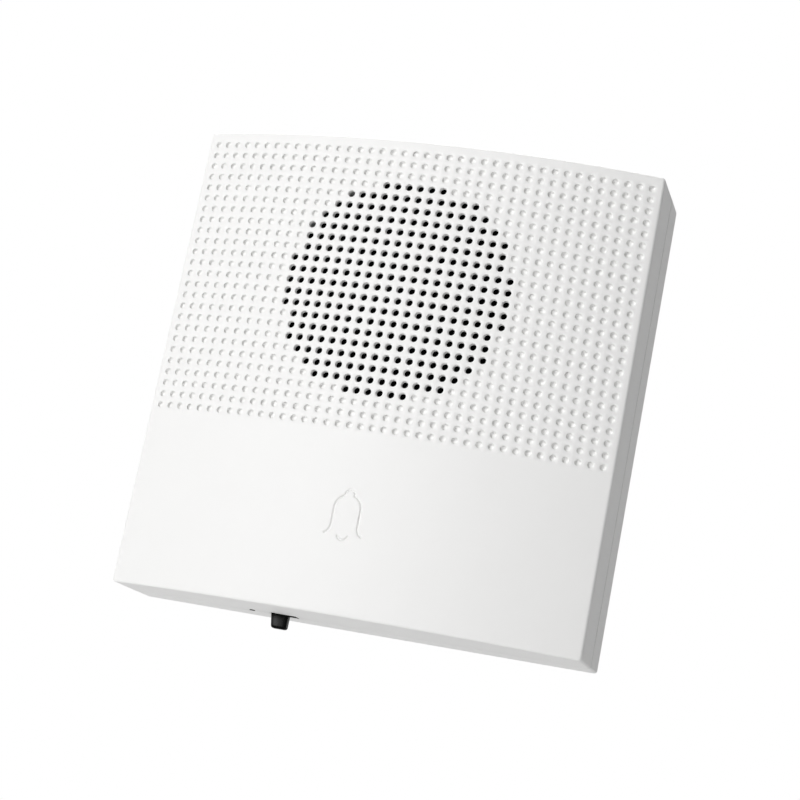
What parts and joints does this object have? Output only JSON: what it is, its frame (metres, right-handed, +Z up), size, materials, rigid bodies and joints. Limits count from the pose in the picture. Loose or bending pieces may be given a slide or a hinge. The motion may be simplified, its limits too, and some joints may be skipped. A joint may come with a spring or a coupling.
{
  "type": "doorbell chime box",
  "caption": "Wall chime box: bowed white case with a drilled speaker grille and dimples, engraved bell sign, slide switch below, screw terminals behind.",
  "frame": {"origin": "middle of the flat back, on the wall", "axes": "+X to the right seen from the front, +Y into the wall, +Z up"},
  "size_m": [0.09, 0.025, 0.0927],
  "materials": {
    "cover_white": "fine matte moulded ABS",
    "case_white": "fine matte moulded ABS",
    "knob_black": "satin black moulding",
    "zinc_steel": "zinc plated",
    "tinned": "tin plated",
    "brass_part": "plain",
    "copper_wire": "enamelled copper",
    "black_felt": "thin felt",
    "spider_cloth": "stiffened cloth",
    "grey_card": "pressed card",
    "black_paper": "pressed paper",
    "black_rubber": "thin rubber",
    "brown_film": "polyimide film",
    "phenolic": "phenolic sheet",
    "ferrite": "sintered ferrite",
    "board_green": "solder resist on glass laminate",
    "chip_black": "moulded epoxy",
    "sleeve_black": "shrunk sleeve",
    "chip_tan": "fired ceramic",
    "lens_smoked": "smoked epoxy",
    "nylon_ivory": "nylon",
    "lead_red": "wire insulation",
    "lead_black": "wire insulation",
    "terminal_green": "moulded polyamide"
  },
  "bodies": {
    "case": {"front_cover": "cover_white", "rear_case": "case_white", "slot_strip": "knob_black", "case_screws": "zinc_steel", "dust_cloth": "black_felt", "speaker_gasket": "grey_card", "surround": "black_rubber", "spider": "spider_cloth", "speaker_basket": "zinc_steel", "top_plate": "zinc_steel", "magnet": "ferrite", "yoke": "zinc_steel", "tag_strip": "phenolic", "solder_tags": "tinned", "speaker_washers": "zinc_steel", "speaker_screws": "zinc_steel", "circuit_board": "board_green", "board_screws": "zinc_steel", "switch_shell": "tinned", "switch_base": "phenolic", "switch_pins": "tinned", "indicator_led": "lens_smoked", "sound_chip": "chip_black", "amplifier_chip": "chip_black", "chip_leads": "tinned", "capacitors": "sleeve_black", "chip_resistors": "chip_black", "chip_capacitors": "chip_tan", "regulator": "chip_black", "protection_diode": "chip_black", "component_legs": "tinned", "speaker_header": "nylon_ivory", "header_pins": "tinned", "speaker_plug": "nylon_ivory", "speaker_lead_red": "lead_red", "speaker_lead_black": "lead_black", "terminal_housing": "terminal_green", "terminal_pins": "tinned"},
    "slider": {"switch_knob": "knob_black", "switch_contact": "brass_part"},
    "diaphragm": {"cone": "black_paper", "dust_cap": "black_paper", "coil_former": "brown_film", "coil_winding": "copper_wire"},
    "screw_1": {"terminal_screw_1": "zinc_steel"},
    "clamp_1": {"wire_clamp_1": "brass_part"},
    "screw_2": {"terminal_screw_2": "zinc_steel"},
    "clamp_2": {"wire_clamp_2": "brass_part"},
    "screw_3": {"terminal_screw_3": "zinc_steel"},
    "clamp_3": {"wire_clamp_3": "brass_part"},
    "screw_4": {"terminal_screw_4": "zinc_steel"},
    "clamp_4": {"wire_clamp_4": "brass_part"}
  },
  "joints": [
    {"name": "switch_slide", "type": "slide", "parent": "case", "child": "slider", "axis": [1, 0, 0], "range_m": [0, 0.0014]},
    {"name": "cone_stroke", "type": "slide", "parent": "case", "child": "diaphragm", "axis": [0, -1, 0], "range_m": [-0.0006, 0.0006], "stiffness_N_per_m": 600, "deforming": ["surround", "spider"]},
    {"name": "screw_turn_1", "type": "hinge", "parent": "case", "child": "screw_1", "pos_m": [0.0107, -0.005, -0.029], "axis": [0, -1, 0], "range_deg": [0, 864]},
    {"name": "clamp_rise_1", "type": "slide", "parent": "case", "child": "clamp_1", "axis": [0, 1, 0], "range_m": [0, 0.0012]},
    {"name": "screw_turn_2", "type": "hinge", "parent": "case", "child": "screw_2", "pos_m": [0.0157, -0.005, -0.029], "axis": [0, -1, 0], "range_deg": [0, 864]},
    {"name": "clamp_rise_2", "type": "slide", "parent": "case", "child": "clamp_2", "axis": [0, 1, 0], "range_m": [0, 0.0012]},
    {"name": "screw_turn_3", "type": "hinge", "parent": "case", "child": "screw_3", "pos_m": [0.0207, -0.005, -0.029], "axis": [0, -1, 0], "range_deg": [0, 864]},
    {"name": "clamp_rise_3", "type": "slide", "parent": "case", "child": "clamp_3", "axis": [0, 1, 0], "range_m": [0, 0.0012]},
    {"name": "screw_turn_4", "type": "hinge", "parent": "case", "child": "screw_4", "pos_m": [0.0257, -0.005, -0.029], "axis": [0, -1, 0], "range_deg": [0, 864]},
    {"name": "clamp_rise_4", "type": "slide", "parent": "case", "child": "clamp_4", "axis": [0, 1, 0], "range_m": [0, 0.0012]}
  ],
  "couplings": [
    {"joint": "screw_turn_1", "follows": "clamp_rise_1", "rad_per_m": 12566},
    {"joint": "screw_turn_2", "follows": "clamp_rise_2", "rad_per_m": 12566},
    {"joint": "screw_turn_3", "follows": "clamp_rise_3", "rad_per_m": 12566},
    {"joint": "screw_turn_4", "follows": "clamp_rise_4", "rad_per_m": 12566}
  ]
}
